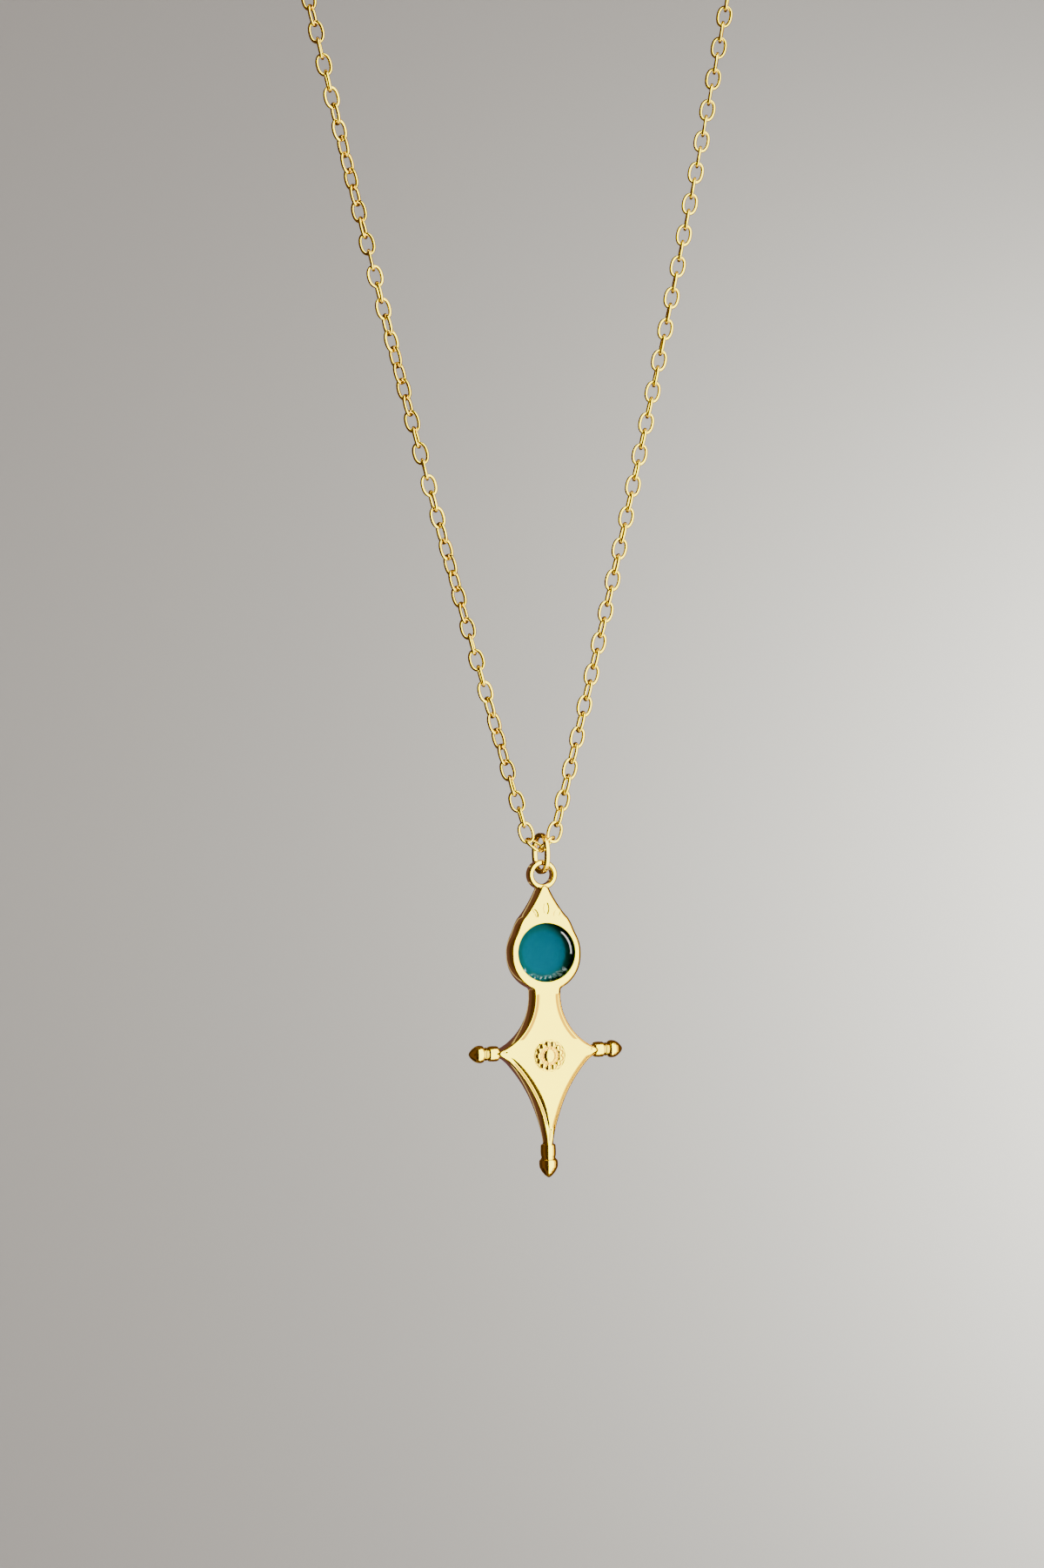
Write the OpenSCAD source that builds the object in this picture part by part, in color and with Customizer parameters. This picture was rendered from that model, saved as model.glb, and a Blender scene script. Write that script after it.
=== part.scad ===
// Tuareg cross necklace: a cast cross pendant with a round stone, hung by a small bail from a cable chain.
// The origin is inside the top of the chain's loop, where it hangs. X runs left to right, the front faces -Y.

/* [Cross pendant] */
// Thickness of the casting, front to back
body_t = 2.6; // [2.2:0.1:2.8]
// Radius of the round head that holds the stone
head_r = 3.75; // [3.6:0.05:3.9]
// Height of the stone's centre above the side arms
head_z = 10.36; // [10.2:0.02:10.5]
// Height of the head's pointed top above the side arms
apex_z = 17.3; // [17.2:0.1:17.5]
// Distance from the axis to the end of a side arm
arm_reach = 8.35; // [8.2:0.05:8.6]
// Distance from the side arms down to the lowest tip
foot_reach = 13.15; // [13:0.05:13.4]
// Thickness of the casting at its lowest point, where it joins the foot's finial
foot_t = 1.2; // [1.1:0.05:1.4]

/* [Border lines and relief] */
// Width of the engraved border line
line_w = 0.3; // [0.2:0.05:0.35]
// Depth of the engraved border line
line_d = 0.15; // [0.1:0.05:0.3]
// Width of the plain rim outside the engraved line
rim_w = 0.42; // [0.35:0.01:0.45]
// Number of petals round the rosette
petals = 14; // [8:1:14]
// Radius of the circle that the petals' centres stand on
petal_ring_r = 1.3; // [1.28:0.01:1.32]
// Radius of one petal
petal_r = 0.28; // [0.25:0.01:0.28]
// Radius of the rosette's middle dome
dome_r = 0.6; // [0.5:0.05:0.7]

/* [Stone] */
// Radius of the stone's cup
cup_r = 3.04; // [2.9:0.02:3.1]
// Depth of the stone's cup
cup_d = 1.35; // [1.2:0.05:1.5]
// Radius of the stone
stone_r = 2.98; // [2.8:0.02:2.98]
// Radius of the stone's flat top
table_r = 2.42; // [2.2:0.02:2.6]

/* [Hanging ring and bail] */
// Outer radius of the pendant's ring
ring_r = 1.5; // [1.45:0.01:1.55]
// Radius of the hole through the pendant's ring
ring_hole_r = 0.98; // [0.96:0.01:1]
// Depth of the pendant's ring, front to back
ring_t = 1.2; // [1:0.05:1.3]
// Height of the ring's centre above the side arms
ring_z = 18.44; // [18.4:0.01:18.5]
// Width of the bail
bail_w = 3.4; // [3.4:0.05:3.5]
// Height of the bail
bail_h = 4.3; // [4.3:0.05:4.4]
// Thickness of the bail's wire
bail_wire = 0.5; // [0.45:0.01:0.5]
// Turn of the bail about the vertical, from square to the pendant's face
bail_turn = 11; // [10:1:12]
// Height of the bail's lowest point above the side arms
bail_z = 18.49; // [18.46:0.01:18.5]

/* [Chain] */
// Length of one link
link_l = 2.4; // [2.4:0.01:2.42]
// Width of one link
link_w = 1.7; // [1.6:0.05:1.8]
// Thickness of the link's wire
link_wire = 0.24; // [0.2:0.01:0.24]
// Distance from one link to the next
pitch = 1.695; // [1.69:0.001:1.7]
// Lean of the strands from the vertical, just above the bail
lean = 15.44; // [15.4:0.01:15.5]
// How much the lean lessens on each millimetre of strand
bend = 0.04023; // [0.04:0.0001:0.0405]
// Height of the lowest point of the chain above the side arms
chain_z = 20.94; // [20.92:0.01:20.96]
// Turn from one link of the left strand to the next, less a quarter turn, near the bail
left_low_twist = -10; // [-10:0.1:-8]
// The same for the left strand higher up
left_twist = -7.2; // [-8:0.1:-6]
// The same for the whole of the right strand
right_twist = -0.55; // [-2:0.05:1]

/* [Clasp] */
// Radius of the clasp's ring, to the middle of its tube
clasp_r = 2.25; // [2.2:0.05:2.3]
// Thickness of the clasp's tube
clasp_tube = 1.1; // [0.9:0.05:1.1]

/* [Hidden] */
$fn = 64;
gold = [0.93, 0.75, 0.38];
teal = [0.0, 0.5, 0.56];
face_y = -body_t / 2;

// Concave sides of the casting, each part of a circle
shoulder_r = 14;
shoulder_x = 13.18;
shoulder_z = 22.88;
waist_r = 6.03;
waist_x = 7.52;
waist_z = 5.9;
flank_r = 14.52;
flank_x = 14.85;
flank_z = -10.86;

// The head's lower half is a circle too, a little lower than the upper one
head_low_r = 3.74;
head_low = 0.32;

// Where the casting starts to thin towards the foot, and where it ends inside the finial
taper_z = -6.5;
foot_z = -10.9;

// Finials, measured along their own axis. Those of the arms have a bead between the collar and the acorn
collar_r = 0.8;
collar_edge = 0.15;
collar_sink = 0.3;
arm_collar_l = 1.17;
arm_neck_l = 0.38;
arm_acorn_l = 1.65;
arm_acorn_r = 0.92;
foot_collar_l = 1.4;
foot_neck_l = 0.12;
foot_acorn_l = 2;
foot_acorn_r = 0.95;
neck_r = 0.6;
bead_r = 0.72;
bead_edge = 0.1;

// The acorn's side and tip are parts of circles, given here for each millimetre of its radius
acorn_side = 1.76;
acorn_tip = 1.02;
// Where the acorn is widest, as a share of its length
acorn_widest = 0.3;

// Short line below the point where the lower border lines meet
line_tail_w = 0.12;
line_tail_l = 1.2;
line_tail_z = -9.2;

// Inner ring of the rosette
inner_petals = 9;
inner_ring_r = 0.8;
inner_petal_r = 0.18;
rosette_z = -0.39;
dome_sink = 0.1;

// Seeds above the stone
seed_l = 1.25;
side_seed_l = 1.125;
seed_w = 0.68;
seed_sink = 0.08;
seed_z = 14.94;
side_seed_x = 1.2;
side_seed_z = 14.4;
side_seed_tilt = 30;

// Chain, from the lowest point up one side: two links at the bail, the leaning strand, the arc over the top
low_leans = [50, 17];
strand_links = 86;
arc_links = 30;
links = len(low_leans) + strand_links + arc_links;
strand_end = lean - bend * strand_links * pitch;
function lean_of(i) =
    i < len(low_leans) ? low_leans[i] :
    i < len(low_leans) + strand_links ? lean - bend * (i - len(low_leans) + 0.5) * pitch :
    strand_end - (i - len(low_leans) - strand_links + 0.5) * (strand_end + 90) / arc_links;
leans = [for (i = [0:links - 1]) lean_of(i)];
function sum_to(values, count) = count == 0 ? 0 : sum_to(values, count - 1) + values[count - 1];
function running(values) = [for (i = [0:len(values)]) sum_to(values, i)];
joint_x = running([for (a = leans) pitch * sin(a)]);
joint_z = running([for (a = leans) pitch * cos(a)]);

// The two lowest links: shift from the chain's lowest point, lean, tip and turn, then the next link's turn
left_shift = [-0.69, -0.19, 0.605];
left_lean = -61;
left_tip = 6;
left_turn = 55;
left_second = -13;
left_first = 3.5;
right_shift = [0.668, 0.19, 0.678];
right_lean = 53;
right_tip = -1;
right_turn = 65;
right_second = -1;
right_first = 8.5;

// Turns of the links. The turning changes twice on the way up, so that the last link lies flat
low_twist_links = 11;
twist_links = 56;
function turn_of(i, first, low, high, top) =
    first + 90 * i + low * min(i, low_twist_links)
    + high * (min(i, twist_links) - min(i, low_twist_links)) + top * max(i - twist_links, 0);
function top_twist(first, low, high, last) =
    (last - first - low * low_twist_links - high * (twist_links - low_twist_links))
    / (links - 2 - twist_links);
left_top_twist = top_twist(left_first, left_low_twist, left_twist, -810);
right_top_twist = top_twist(right_first, right_twist, right_twist, -90);
left_turns = [
    left_turn,
    left_second,
    for (i = [1:links - 2]) turn_of(i, left_first, left_low_twist, left_twist, left_top_twist),
];
right_turns = [
    right_turn,
    right_second,
    for (i = [1:links - 2]) turn_of(i, right_first, right_twist, right_twist, right_top_twist),
];

// Clasp and its rings, along the top of the loop
end_ring_r = 1.25;
end_ring_wire = 0.5;
eye_r = 0.8;
eye_wire = 0.5;
eye_sink = 0.15;
clasp_link_r = 1;
clasp_link_wire = 0.45;
top_gap = 0.12;
loop_half = joint_x[links];
last_link_end = -loop_half + (link_l - pitch - link_wire) / 2;
end_ring_x = last_link_end + end_ring_r - (end_ring_wire + link_wire) / 2 - top_gap;
clasp_x = end_ring_x + end_ring_r + clasp_r - (end_ring_wire + clasp_tube) / 2 - top_gap;
eye_x = clasp_x + clasp_r + clasp_tube / 2 + eye_r - eye_sink;
clasp_link_x = eye_x + eye_r + clasp_link_r - (eye_wire + clasp_link_wire) / 2 - top_gap;

// Heights in the whole necklace's frame
top_z = 1.5;
drop = top_z - joint_z[links] - chain_z;

module mirrored() {
    children();
    mirror([1, 0, 0]) children();
}

module facing(depth) {
    rotate([90, 0, 0]) linear_extrude(depth, center = true) children();
}

module head_outline() {
    translate([0, head_z]) circle(head_r);
    translate([0, head_z - head_low]) circle(head_low_r);
    difference() {
        mirrored() polygon([
            [0, 12.4], [3.12, 12.4], [2.98, 12.86], [2.78, 13.36], [2.45, 14.2], [0.9, apex_z], [0, apex_z],
        ]);
        mirrored() translate([shoulder_x, shoulder_z]) circle(shoulder_r);
    }
}

module diamond_outline() {
    difference() {
        mirrored() polygon([[0, 7.3], [2, 7.3], [5.1, 0.5], [5.5, 0.1], [5.5, -0.1], [0.45, foot_z], [0, foot_z]]);
        mirrored() translate([waist_x, waist_z]) circle(waist_r);
        mirrored() translate([flank_x, flank_z]) circle(flank_r);
    }
    mirrored() polygon([[3, -2.25], [3.9, -1.4], [4.5, -0.9], [5.1, -0.5], [5.5, -0.1], [5.5, 0.1], [3, 0]]);
}

// Half of the casting's side view, thinner towards the foot. The inset brings every face in
module side_view(inset) {
    mirrored() polygon([
        [0, apex_z + 1],
        [body_t / 2 - inset, apex_z + 1],
        [body_t / 2 - inset, taper_z],
        [foot_t / 2 - inset, foot_z - 1],
        [0, foot_z - 1],
    ]);
}

module across(width) {
    rotate([90, 0, 90]) linear_extrude(width, center = true) children();
}

module collar_profile(length) {
    translate([0, -collar_sink]) square([collar_r - collar_edge, length + collar_sink]);
    translate([0, collar_edge]) square([collar_r, length - 2 * collar_edge]);
    for (a = [collar_edge, length - collar_edge])
        intersection() {
            translate([collar_r - collar_edge, a]) circle(collar_edge);
            square([collar_r, length]);
        }
}

module bead_profile() {
    translate([0, -bead_edge]) square([bead_r - bead_edge, 2 * bead_edge]);
    translate([bead_r - bead_edge, 0]) circle(bead_edge);
}

module acorn_profile(length, radius) {
    side_r = acorn_side * radius;
    tip_r = acorn_tip * radius;
    intersection() {
        square([2 * radius, length + 1]);
        translate([radius - side_r, acorn_widest * length]) circle(side_r);
        union() {
            square([2 * radius, length - tip_r]);
            translate([0, length - tip_r]) circle(tip_r);
        }
    }
}

module finial(collar, neck, acorn, acorn_r) {
    rotate_extrude() {
        collar_profile(collar);
        translate([0, collar - bead_edge]) square([neck_r, neck + 2 * bead_edge]);
        if (neck > 2 * bead_edge)
            translate([0, collar + neck / 2]) bead_profile();
        translate([0, collar + neck]) acorn_profile(acorn, acorn_r);
    }
}

module seed(length, width) {
    lens_r = (length * length / 4 + width * width / 4) / width;
    rotate_extrude() intersection() {
        translate([width / 2 - lens_r, 0]) circle(lens_r);
        translate([0, -length]) square([width, 2 * length]);
    }
}

module seeds() {
    translate([0, face_y + seed_sink, seed_z]) seed(seed_l, seed_w);
    mirrored() translate([side_seed_x, face_y + seed_sink, side_seed_z])
        rotate([0, side_seed_tilt, 0]) seed(side_seed_l, seed_w);
}

module border_lines() {
    mirrored() difference() {
        intersection() {
            polygon([[0, 6.35], [3.2, 6.35], [3.2, 3], [5.05, 0.35], [0, 0.35]]);
            translate([waist_x, waist_z]) circle(waist_r + rim_w + line_w);
        }
        translate([waist_x, waist_z]) circle(waist_r + rim_w);
    }
    mirrored() difference() {
        intersection() {
            polygon([[0, 0.35], [5.05, 0.35], [3.2, -2.9], [0.3, -8.2], [0, -8.2]]);
            translate([flank_x, flank_z]) circle(flank_r + rim_w + line_w);
        }
        translate([flank_x, flank_z]) circle(flank_r + rim_w);
    }
    translate([-line_tail_w / 2, line_tail_z]) square([line_tail_w, line_tail_l]);
}

module ring_of(count, radius) {
    for (i = [0:count - 1]) rotate(i * 360 / count) translate([radius, 0]) children();
}

module rosette() {
    translate([0, face_y, 0]) rotate([90, 0, 0]) {
        cylinder(r = petal_ring_r, h = dome_sink);
        ring_of(petals, petal_ring_r) sphere(petal_r);
        ring_of(inner_petals, inner_ring_r) sphere(inner_petal_r);
        intersection() {
            translate([0, 0, -dome_sink]) sphere(dome_r);
            cylinder(r = petal_ring_r, h = 1);
        }
    }
}

module cross() color(gold) translate([0, 0, drop]) {
    difference() {
        union() {
            intersection() {
                facing(body_t + 1) union() {
                    head_outline();
                    diamond_outline();
                }
                across(2 * arm_reach) side_view(0);
            }
            translate([0, 0, ring_z]) facing(ring_t) circle(ring_r);
        }
        translate([0, 0, ring_z]) facing(3) circle(ring_hole_r);
        translate([0, face_y + cup_d, head_z]) rotate([90, 0, 0]) cylinder(r = cup_r, h = cup_d + 1);
        difference() {
            translate([0, face_y, 0]) facing(body_t) border_lines();
            across(2 * arm_reach) side_view(line_d);
        }
    }
    mirrored() translate([arm_reach - arm_collar_l - arm_neck_l - arm_acorn_l, 0, 0])
        rotate([0, 90, 0]) finial(arm_collar_l, arm_neck_l, arm_acorn_l, arm_acorn_r);
    translate([0, 0, -foot_reach + foot_collar_l + foot_neck_l + foot_acorn_l])
        rotate([180, 0, 0]) finial(foot_collar_l, foot_neck_l, foot_acorn_l, foot_acorn_r);
    seeds();
    translate([0, 0, rosette_z]) rosette();
}

module stone_profile() {
    shoulder = stone_r - table_r;
    square([stone_r, cup_d - shoulder - 0.1]);
    square([table_r, cup_d - 0.1]);
    intersection() {
        translate([table_r, cup_d - 0.1 - shoulder]) circle(shoulder);
        square([stone_r, cup_d]);
    }
}

module stone() color(teal)
    translate([0, face_y + cup_d - 0.05, drop + head_z]) rotate([90, 0, 0]) rotate_extrude() stone_profile();

// An oval link in the XZ plane, cut from flat wire
module oval_link(length, width, wire) {
    end = (length - width) / 2;
    facing(wire) difference() {
        union() {
            square([width, 2 * end], center = true);
            for (s = [-1, 1]) translate([0, s * end]) circle(width / 2);
        }
        square([width - 2 * wire, 2 * end], center = true);
        for (s = [-1, 1]) translate([0, s * end]) circle(width / 2 - wire);
    }
}

module bail() color(gold) translate([0, 0, drop + bail_z + bail_h / 2])
    rotate([0, 0, 90 + bail_turn]) oval_link(bail_h, bail_w, bail_wire);

// Turn of each link about its strand, where 0 shows its open face to the front. The last link lies flat
module strand(side, turns) translate([0, 0, drop + chain_z]) {
    for (i = [1:links - 1])
        translate([side * (joint_x[i] + joint_x[i + 1]) / 2, 0, (joint_z[i] + joint_z[i + 1]) / 2])
            rotate([0, side * leans[i], 0]) rotate([0, 0, turns[i]]) oval_link(link_l, link_w, link_wire);
}

// The lowest link of each side: they hook through each other inside the bail
module lowest_link(shift, lean, tip, turn)
    translate([0, 0, drop + chain_z]) translate(shift)
        rotate([0, lean, 0]) rotate([tip, 0, 0]) rotate([0, 0, turn]) oval_link(link_l, link_w, link_wire);

module chain_left() color(gold) {
    lowest_link(left_shift, left_lean, left_tip, left_turns[0]);
    strand(-1, left_turns);
}

module chain_right() color(gold) {
    lowest_link(right_shift, right_lean, right_tip, right_turns[0]);
    strand(1, right_turns);
}

module wire_ring(r, wire) {
    rotate_extrude() translate([r, 0]) circle(wire / 2);
}

module clasp() color(gold) {
    translate([clasp_x, 0, top_z]) wire_ring(clasp_r, clasp_tube);
    translate([eye_x, 0, top_z]) wire_ring(eye_r, eye_wire);
}

module end_ring() color(gold)
    translate([end_ring_x, 0, top_z]) rotate([90, 0, 0]) wire_ring(end_ring_r, end_ring_wire);

module clasp_link() color(gold)
    translate([clasp_link_x, 0, top_z]) rotate([90, 0, 0]) wire_ring(clasp_link_r, clasp_link_wire);

cross();
stone();
bail();
chain_left();
chain_right();
clasp();
end_ring();
clasp_link();
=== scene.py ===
import math

import bpy
import numpy as np
from mathutils import Matrix, Vector
from mathutils.geometry import delaunay_2d_cdt


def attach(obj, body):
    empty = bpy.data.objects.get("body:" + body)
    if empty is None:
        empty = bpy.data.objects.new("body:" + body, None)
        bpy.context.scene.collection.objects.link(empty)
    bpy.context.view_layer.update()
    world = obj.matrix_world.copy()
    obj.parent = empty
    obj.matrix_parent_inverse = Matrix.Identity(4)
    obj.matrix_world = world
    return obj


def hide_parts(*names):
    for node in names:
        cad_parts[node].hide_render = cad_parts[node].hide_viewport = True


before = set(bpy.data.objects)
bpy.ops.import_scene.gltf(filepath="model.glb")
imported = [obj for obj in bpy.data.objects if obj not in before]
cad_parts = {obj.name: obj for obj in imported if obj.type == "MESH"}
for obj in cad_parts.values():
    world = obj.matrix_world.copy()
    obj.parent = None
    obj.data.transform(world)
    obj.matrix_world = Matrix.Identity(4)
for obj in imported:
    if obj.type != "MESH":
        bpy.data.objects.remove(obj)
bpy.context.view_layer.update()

# Units

# Lengths are in millimetres and angles in degrees, unless said otherwise
MM = 0.001
rad = math.radians

# Chain layout

# A strand goes link by link from the bail to the top of the loop, and each link leans away from upright
PITCH = 1.695
LOW_LEANS = [50, 17]
LEAN = 15.44
BEND = 0.04023
STRAND_LINKS = 86
ARC_LINKS = 30
STRAND_END = LEAN - BEND * STRAND_LINKS * PITCH
leans = (
    LOW_LEANS
    + [LEAN - BEND * (i + 0.5) * PITCH for i in range(STRAND_LINKS)]
    + [STRAND_END - (i + 0.5) * (STRAND_END + 90) / ARC_LINKS for i in range(ARC_LINKS)]
)
LINKS = len(leans)
joint_x = [0.0]
joint_z = [0.0]
for lean in leans:
    joint_x.append(joint_x[-1] + PITCH * math.sin(rad(lean)))
    joint_z.append(joint_z[-1] + PITCH * math.cos(rad(lean)))

# Heights

# They count from the axis of the side arms. DROP brings them into the frame, which starts in the loop's top
LOOP_TOP_Z = 1.5
CHAIN_Z = 20.94
DROP = LOOP_TOP_Z - joint_z[-1] - CHAIN_Z

# Turns of the links about their own length

LOW_TWIST_LINKS = 11
TWIST_LINKS = 56


def turn_list(first_two, start, low_step, high_step, last):
    """A quarter turn from link to link, and a slow twist whose step is different low, high and at the top."""
    left_over = last - start - low_step * LOW_TWIST_LINKS - high_step * (TWIST_LINKS - LOW_TWIST_LINKS)
    top_step = left_over / (LINKS - 2 - TWIST_LINKS)
    turns = list(first_two)
    for i in range(1, LINKS - 1):
        low = min(i, LOW_TWIST_LINKS)
        high = min(i, TWIST_LINKS) - low
        top = max(i - TWIST_LINKS, 0)
        turns.append(start + 90 * i + low_step * low + high_step * high + top_step * top)
    return turns


left_turns = turn_list((55, -13), start=3.5, low_step=-10, high_step=-7.2, last=-810)
right_turns = turn_list((65, -1), start=8.5, low_step=-0.55, high_step=-0.55, last=-90)


def rot_x(angle):
    c, s = math.cos(rad(angle)), math.sin(rad(angle))
    return np.array([[1, 0, 0], [0, c, -s], [0, s, c]])


def rot_y(angle):
    c, s = math.cos(rad(angle)), math.sin(rad(angle))
    return np.array([[c, 0, s], [0, 1, 0], [-s, 0, c]])


def rot_z(angle):
    c, s = math.cos(rad(angle)), math.sin(rad(angle))
    return np.array([[c, -s, 0], [s, c, 0], [0, 0, 1]])


# Mesh helpers

def add_mesh(name, points, faces, smooth):
    """A mesh object. Its points are in metres, and its faces are lists of their numbers."""
    mesh = bpy.data.meshes.new(name)
    mesh.from_pydata(np.asarray(points).tolist(), [], faces)
    mesh.update()
    mesh.polygons.foreach_set("use_smooth", [smooth] * len(mesh.polygons))
    obj = bpy.data.objects.new(name, mesh)
    bpy.context.collection.objects.link(obj)
    return obj


def oriented(points, faces, normals):
    """Turns each face so that it looks the way its normals do."""
    faces = np.array(faces)
    a, b, c = (points[faces[:, k]] for k in range(3))
    look = np.cross(b - a, c - a)
    if faces.shape[1] == 4:
        flat = (look ** 2).sum(1) < 1e-18
        look[flat] = np.cross(c[flat] - a[flat], points[faces[flat, 3]] - a[flat])
    wrong = (look * (normals[faces[:, 0]] + normals[faces[:, 1]] + normals[faces[:, 2]])).sum(1) < 0
    faces[wrong] = faces[wrong, ::-1]
    return faces


class Surface:
    """Collects patches that become one smooth mesh. Points and normals have rows of x, y, z."""

    def __init__(self):
        self.points = []
        self.faces = []
        self.normals = []
        self.slots = []
        self.count = 0

    def add(self, points, faces, normals, slot=0):
        self.points.append(points)
        self.normals.append(normals)
        self.faces += (oriented(points, faces, normals) + self.count).tolist()
        self.slots += [slot] * len(faces)
        self.count += len(points)

    def build(self, name, materials):
        """The object, brought into the frame and into metres."""
        points = (np.concatenate(self.points) + [0, 0, DROP]) * MM
        obj = add_mesh(name, points, self.faces, True)
        obj.data.normals_split_custom_set_from_vertices(np.concatenate(self.normals).tolist())
        obj.data.polygons.foreach_set("material_index", self.slots)
        for material in materials:
            obj.data.materials.append(material)
        return obj


def grid_faces(rows, cols, close_rows, close_cols):
    """Four-sided faces between the points of a grid, which may close on itself either way."""
    steps = np.arange(rows if close_rows else rows - 1), np.arange(cols if close_cols else cols - 1)
    i, j = np.meshgrid(*steps, indexing="ij")
    down = (i + 1) % rows
    along = (j + 1) % cols
    corners = [i * cols + j, i * cols + along, down * cols + along, down * cols + j]
    return np.stack(corners, 2).reshape(-1, 4)


def across(tangents):
    """Unit directions to the right of tangents in a plane."""
    size = np.maximum(np.hypot(tangents[:, 0], tangents[:, 1]), 1e-9)
    return np.stack([tangents[:, 1], -tangents[:, 0]], 1) / size[:, None]


def outward_of(loop):
    """Outward directions at the points of a closed loop."""
    return across(np.roll(loop, -1, 0) - np.roll(loop, 1, 0))


def circle_points(radius, angles, height):
    """Points of a circle at angles in radians."""
    return np.stack([radius * np.cos(angles), height + radius * np.sin(angles)], 1)


def full_turn(count):
    """Even angles round a circle, in radians."""
    return np.linspace(0, 2 * math.pi, count, endpoint=False)


def even_points(points, step):
    """Points at even distances along a line."""
    p = np.asarray(points, float)
    length = np.hypot(*(p[1:] - p[:-1]).T)
    run = np.concatenate([[0], np.cumsum(length)])
    at = np.linspace(0, run[-1], int(run[-1] / step) + 2)
    return np.stack([np.interp(at, run, p[:, 0]), np.interp(at, run, p[:, 1])], 1)


def rounded_section(width, depth, corner, steps):
    """Outline of a bar with rounded edges, and its outward directions."""
    points = []
    normals = []
    for side_x, side_y, start in ((1, 1, 0), (-1, 1, 90), (-1, -1, 180), (1, -1, 270)):
        centre = np.array([side_x * (width / 2 - corner), side_y * (depth / 2 - corner)])
        for k in range(steps + 1):
            a = rad(start + 90 * k / steps)
            normal = np.array([math.cos(a), math.sin(a)])
            points.append(centre + corner * normal)
            normals.append(normal)
    return np.array(points), np.array(normals)


def sweep(path, section, section_normals, out):
    """Carries a section along a closed path in the XZ plane, whose outward directions are out."""
    points = np.zeros((len(path), len(section), 3))
    normals = np.zeros_like(points)
    for axis, column in ((0, 0), (2, 1)):
        points[:, :, axis] = path[:, column, None] + out[:, column, None] * section[:, 0]
        normals[:, :, axis] = out[:, column, None] * section_normals[:, 0]
    points[:, :, 1] = section[:, 1]
    normals[:, :, 1] = section_normals[:, 1]
    faces = grid_faces(len(path), len(section), True, True)
    return points.reshape(-1, 3), faces, normals.reshape(-1, 3)


def spin(rows, count):
    """Rows of radius and height, turned about Z."""
    rows = np.asarray(rows, float)
    a = full_turn(count)
    columns = [rows[:, :1] * np.cos(a), rows[:, :1] * np.sin(a), np.repeat(rows[:, 1:], count, 1)]
    return np.stack(columns, 2).reshape(-1, 3)


def revolve(profile, normals, count):
    """Turns a profile about Z. Its normals have rows of radial and axial."""
    return spin(profile, count), grid_faces(len(profile), count, False, True), spin(normals, count)


def smooth_step(x, low, high):
    t = np.clip((x - low) / (high - low), 0, 1)
    return t * t * (3 - 2 * t)


def bump(distance, radius):
    """A round cap of height 1 over a distance."""
    return np.sqrt(np.clip(1 - (distance / radius) ** 2, 0, 1))


def peak(distance, width):
    """A soft peak of height 1 at distance 0."""
    return np.exp(-(distance / width) ** 2)


# Outline of the cross

# A circle is the x and z of its centre, and its radius. A span is the heights between which it is used
BODY_T = 2.6
FOOT_T = 1.2
TAPER_Z = -6.5
FOOT_Z = -10.9
APEX_Z = 17.3
SHOULDER = (13.18, 22.88, 14.0)
SHOULDER_SPAN = (APEX_Z - 0.12, 14.2)
SHOULDER_CORNER = [(2.45, 13.95), (2.78, 13.36), (2.98, 12.86)]
HEAD_Z = 10.36
HEAD_R = 3.75
HEAD_ARC_TOP = 1.95
# In radians
HEAD_ARC_END = -0.07
HEAD_LOW_R = 3.74
HEAD_LOW = 0.32
HEAD_ARC_FOOT = 3.41
WAIST = (7.52, 5.9, 6.09)
WAIST_SPAN = (6.55, 0.5)
ARM_END = [(5.3, 0.22), (5.48, 0.0), (5.3, -0.22), (4.95, -0.45), (4.47, -0.77)]
FLANK = (14.85, -10.86, 14.52)
FLANK_SPAN = (-1.0, -10.6)
OUTLINE_STEP = 0.09
CORNER_PASSES = 3
SHOULDER_PASSES = 14
SHOULDER_ZONE = (11.2, 13.3)
CUP_R = 3.04
CUP_D = 1.35
CUP_CORNER = 0.12
CUP_SIDES = 160
# A point nearer to a line than this lies on it
ON_LINE = 1e-4


def hollow_arc(circle, span, count):
    """The left side of a circle between two heights."""
    x, z, r = circle
    return [(x - math.sqrt(max(r * r - (h - z) ** 2, 0)), h) for h in np.linspace(*span, count)]


def right_half():
    """The right half of the outline, from the apex down to the foot."""
    points = [(0.0, APEX_Z + 0.02), (0.2, APEX_Z - 0.02)]
    points += hollow_arc(SHOULDER, SHOULDER_SPAN, 40)
    points += SHOULDER_CORNER
    for a in np.linspace(math.asin(HEAD_ARC_TOP / HEAD_R), HEAD_ARC_END, 32):
        points.append((HEAD_R * math.cos(a), HEAD_Z + HEAD_R * math.sin(a)))
    for a in np.linspace(0.0, -math.asin(HEAD_ARC_FOOT / HEAD_LOW_R), 32):
        points.append((HEAD_LOW_R * math.cos(a), HEAD_Z - HEAD_LOW + HEAD_LOW_R * math.sin(a)))
    points += hollow_arc(WAIST, WAIST_SPAN, 70)
    points += ARM_END
    points += hollow_arc(FLANK, FLANK_SPAN, 90)
    return even_points(points, OUTLINE_STEP)


def softened(half):
    """Rounds the outline's corners a little by a running mean, and the shoulder's more."""
    for times in range(SHOULDER_PASSES):
        mean = (half[:-2] + 2 * half[1:-1] + half[2:]) / 4
        height = half[1:-1, 1]
        shoulder = (height > SHOULDER_ZONE[0]) & (height < SHOULDER_ZONE[1])
        half[1:-1] = np.where(shoulder[:, None] | (times < CORNER_PASSES), mean, half[1:-1])
    return half


def whole_outline():
    """Both halves of the outline as one loop."""
    half = softened(right_half())
    left = (half * [-1, 1])[::-1][:-1]
    return np.concatenate([half, [[0.0, half[-1, 1]]], left])[::-1]


outline = whole_outline()


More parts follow.
